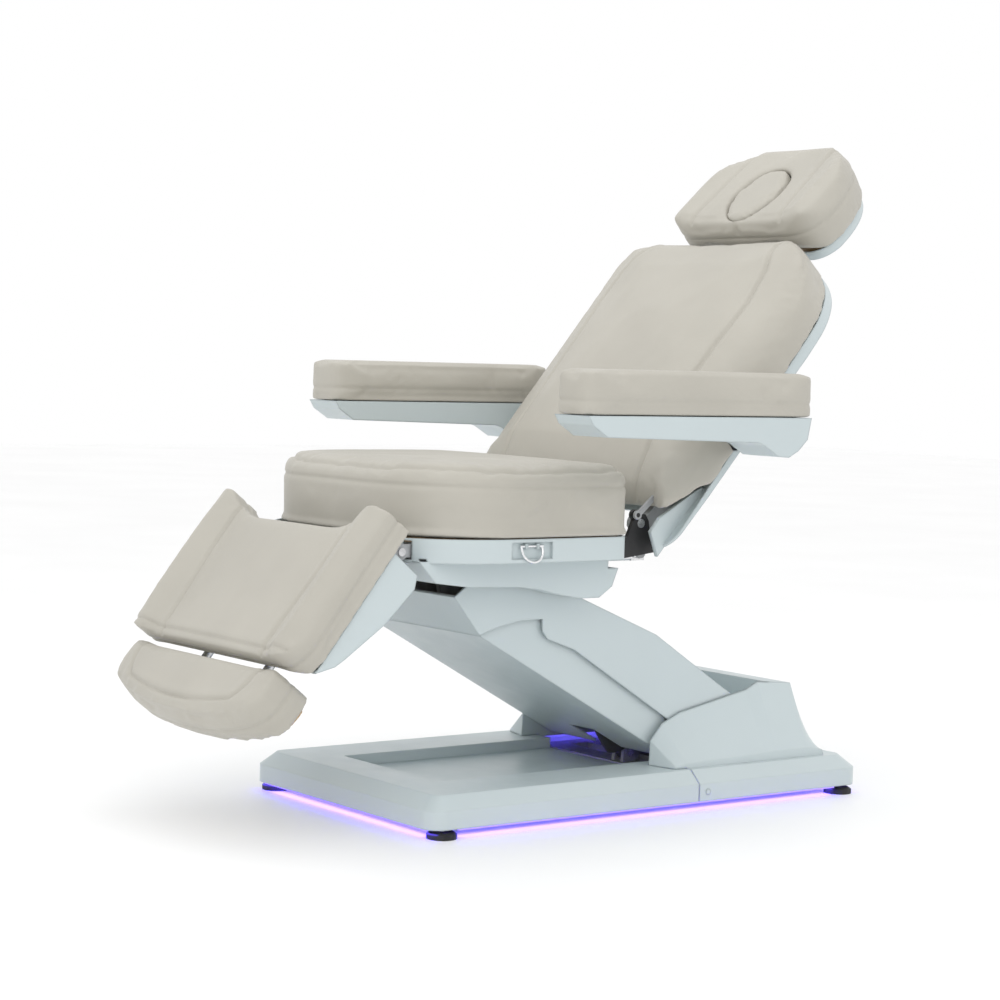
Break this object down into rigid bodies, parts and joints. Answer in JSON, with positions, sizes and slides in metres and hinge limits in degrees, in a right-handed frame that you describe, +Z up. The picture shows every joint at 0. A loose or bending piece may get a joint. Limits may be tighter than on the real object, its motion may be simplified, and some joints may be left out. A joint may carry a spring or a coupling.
{
  "type": "facial treatment bed",
  "caption": "Electric reclining treatment bed with lifting arm, adjustable back, leg and foot rests, tilting headrest with a face hole and level armrests.",
  "frame": {"origin": "centre of the overall bounding box at floor level", "axes": "+Z up; +Y from the foot rest to the headrest; +X to the left-hand side of a client lying on their back with the head at +Y"},
  "size_m": [0.86, 1.4678, 1.2323],
  "materials": {
    "upholstery": "soft satin",
    "cover_plastic": "satin",
    "frame_steel": "satin paint",
    "black_plate": "powder coat",
    "pin_steel": "bright",
    "actuator_body": "matte",
    "actuator_rod": "bright",
    "plywood": "raw",
    "foot_rubber": "matte",
    "light": "diffuser",
    "dark_plastic": "matte",
    "chrome_wire": "polished"
  },
  "bodies": {
    "base": {"base_frame": "frame_steel", "front_base_cover": "cover_plastic", "rear_base_cover": "cover_plastic", "foot_pads": "foot_rubber", "foot_stems": "pin_steel", "foot_lock_nuts": "pin_steel", "light_strip": "light", "control_box": "dark_plastic", "power_inlet": "dark_plastic", "base_pivot_pins": "pin_steel", "cover_screw_plugs": "cover_plastic"},
    "lift_arm": {"lift_arm_frame": "frame_steel", "upper_arm_cover": "cover_plastic"},
    "lower_link": {"lower_links": "frame_steel", "lower_arm_cover": "cover_plastic"},
    "lift_motor": {"lift_motor": "actuator_body"},
    "lift_rod": {"lift_rod": "actuator_rod"},
    "seat": {"seat_frame": "frame_steel", "seat_shell": "cover_plastic", "seat_board": "plywood", "seat_cushion": "upholstery", "back_hinge_plates": "black_plate", "knee_brackets": "frame_steel", "seat_pivot_pins": "pin_steel", "back_hinge_pins": "pin_steel", "knee_hinge_pins": "pin_steel", "ring_plate": "cover_plastic", "back_motor": "actuator_body"},
    "ring": {"d_ring": "chrome_wire"},
    "back_rod": {"back_rod": "actuator_rod"},
    "leg_motor": {"leg_motor": "actuator_body"},
    "leg_rod": {"leg_rod": "actuator_rod"},
    "back": {"back_frame": "frame_steel", "back_shell": "cover_plastic", "back_cushion": "upholstery"},
    "level_rods": {"armrest_level_rods": "frame_steel"},
    "armrest_crank_left": {"armrest_crank_left": "pin_steel"},
    "armrest_crank_right": {"armrest_crank_right": "pin_steel"},
    "armrest_left": {"armrest_bar_left": "frame_steel", "armrest_shell_left": "cover_plastic", "armrest_cushion_left": "upholstery"},
    "armrest_right": {"armrest_bar_right": "frame_steel", "armrest_shell_right": "cover_plastic", "armrest_cushion_right": "upholstery"},
    "headrest_rods": {"headrest_rods": "pin_steel"},
    "headrest": {"headrest_cushion": "upholstery", "headrest_board": "plywood", "headrest_shell": "cover_plastic", "headrest_brackets": "frame_steel"},
    "face_plug": {"face_hole_plug": "upholstery"},
    "leg": {"leg_frame": "frame_steel", "leg_shell": "cover_plastic", "leg_cushion": "upholstery"},
    "foot": {"foot_rails": "pin_steel", "foot_board": "plywood", "foot_cushion": "upholstery"}
  },
  "joints": [
    {"name": "lift", "type": "hinge", "parent": "base", "child": "lift_arm", "pos_m": [0, 0.3835, 0.112], "axis": [-1, 0, 0], "range_deg": [0, 33]},
    {"name": "lower_link_pivot", "type": "hinge", "parent": "base", "child": "lower_link", "pos_m": [0, 0.3385, 0.067], "axis": [-1, 0, 0], "range_deg": [-1, 34]},
    {"name": "seat_level", "type": "hinge", "parent": "lift_arm", "child": "seat", "pos_m": [0, -0.15002, 0.40773], "axis": [-1, 0, 0], "range_deg": [-34, 1]},
    {"name": "lift_motor_pivot", "type": "hinge", "parent": "base", "child": "lift_motor", "pos_m": [0, 0.2585, 0.062], "axis": [-1, 0, 0], "range_deg": [-2, 38]},
    {"name": "lift_rod_slide", "type": "slide", "parent": "lift_motor", "child": "lift_rod", "axis": [0, -0.5751, 0.8181], "range_m": [-0.002, 0.0805]},
    {"name": "back_recline", "type": "hinge", "parent": "seat", "child": "back", "pos_m": [0, 0.0785, 0.518], "axis": [-1, 0, 0], "range_deg": [-22, 50]},
    {"name": "back_rod_slide", "type": "slide", "parent": "seat", "child": "back_rod", "axis": [0, -1, 0], "range_m": [-0.024, 0.05]},
    {"name": "leg_lift", "type": "hinge", "parent": "seat", "child": "leg", "pos_m": [0, -0.4215, 0.478], "axis": [-1, 0, 0], "range_deg": [-6, 52]},
    {"name": "leg_motor_pivot", "type": "hinge", "parent": "seat", "child": "leg_motor", "pos_m": [0, -0.0115, 0.44], "axis": [-1, 0, 0], "range_deg": [-3, 5]},
    {"name": "leg_rod_slide", "type": "slide", "parent": "leg_motor", "child": "leg_rod", "axis": [0, -0.9993, -0.0386], "range_m": [-0.012, 0.046]},
    {"name": "foot_slide", "type": "slide", "parent": "leg", "child": "foot", "axis": [0, -0.6157, -0.788], "range_m": [0, 0.1]},
    {"name": "headrest_slide", "type": "slide", "parent": "back", "child": "headrest_rods", "axis": [0, 0.6428, 0.766], "range_m": [0, 0.08]},
    {"name": "headrest_tilt", "type": "hinge", "parent": "headrest_rods", "child": "headrest", "pos_m": [0, 0.5592, 1.0285], "axis": [1, 0, 0], "range_deg": [-30, 10]},
    {"name": "face_plug_pull", "type": "slide", "parent": "headrest", "child": "face_plug", "axis": [0, -0.6691, 0.7431], "range_m": [0, 0.075]},
    {"name": "level_rod_pivot", "type": "hinge", "parent": "seat", "child": "level_rods", "pos_m": [0, 0.0656, 0.5333], "axis": [-1, 0, 0], "range_deg": [-23, 51]},
    {"name": "armrest_level_left", "type": "hinge", "parent": "back", "child": "armrest_crank_left", "pos_m": [0, 0.2535, 0.665], "axis": [-1, 0, 0], "range_deg": [-51, 23]},
    {"name": "armrest_level_right", "type": "hinge", "parent": "back", "child": "armrest_crank_right", "pos_m": [0, 0.2535, 0.665], "axis": [-1, 0, 0], "range_deg": [-51, 23]},
    {"name": "armrest_fold_left", "type": "hinge", "parent": "armrest_crank_left", "child": "armrest_left", "pos_m": [0, 0.2535, 0.665], "axis": [-1, 0, 0], "range_deg": [0, 100]},
    {"name": "armrest_fold_right", "type": "hinge", "parent": "armrest_crank_right", "child": "armrest_right", "pos_m": [0, 0.2535, 0.665], "axis": [-1, 0, 0], "range_deg": [0, 100]},
    {"name": "ring_swing", "type": "hinge", "parent": "seat", "child": "ring", "pos_m": [0.2863, -0.1985, 0.4875], "axis": [0, -1, 0], "range_deg": [0, 70]}
  ],
  "couplings": [
    {"joint": "lower_link_pivot", "follows": "lift", "ratio": 1},
    {"joint": "seat_level", "follows": "lift", "ratio": -1},
    {"joint": "lift_motor_pivot", "follows": "lift", "ratio": 0.99734},
    {"joint": "lift_rod_slide", "follows": "lift", "m_per_rad": 0.13286},
    {"joint": "back_rod_slide", "follows": "back_recline", "m_per_rad": 0.05325},
    {"joint": "level_rod_pivot", "follows": "back_recline", "ratio": 1},
    {"joint": "armrest_level_left", "follows": "back_recline", "ratio": -1},
    {"joint": "armrest_level_right", "follows": "back_recline", "ratio": -1},
    {"joint": "leg_motor_pivot", "follows": "leg_lift", "ratio": 0.05473},
    {"joint": "leg_rod_slide", "follows": "leg_lift", "m_per_rad": 0.04691}
  ]
}
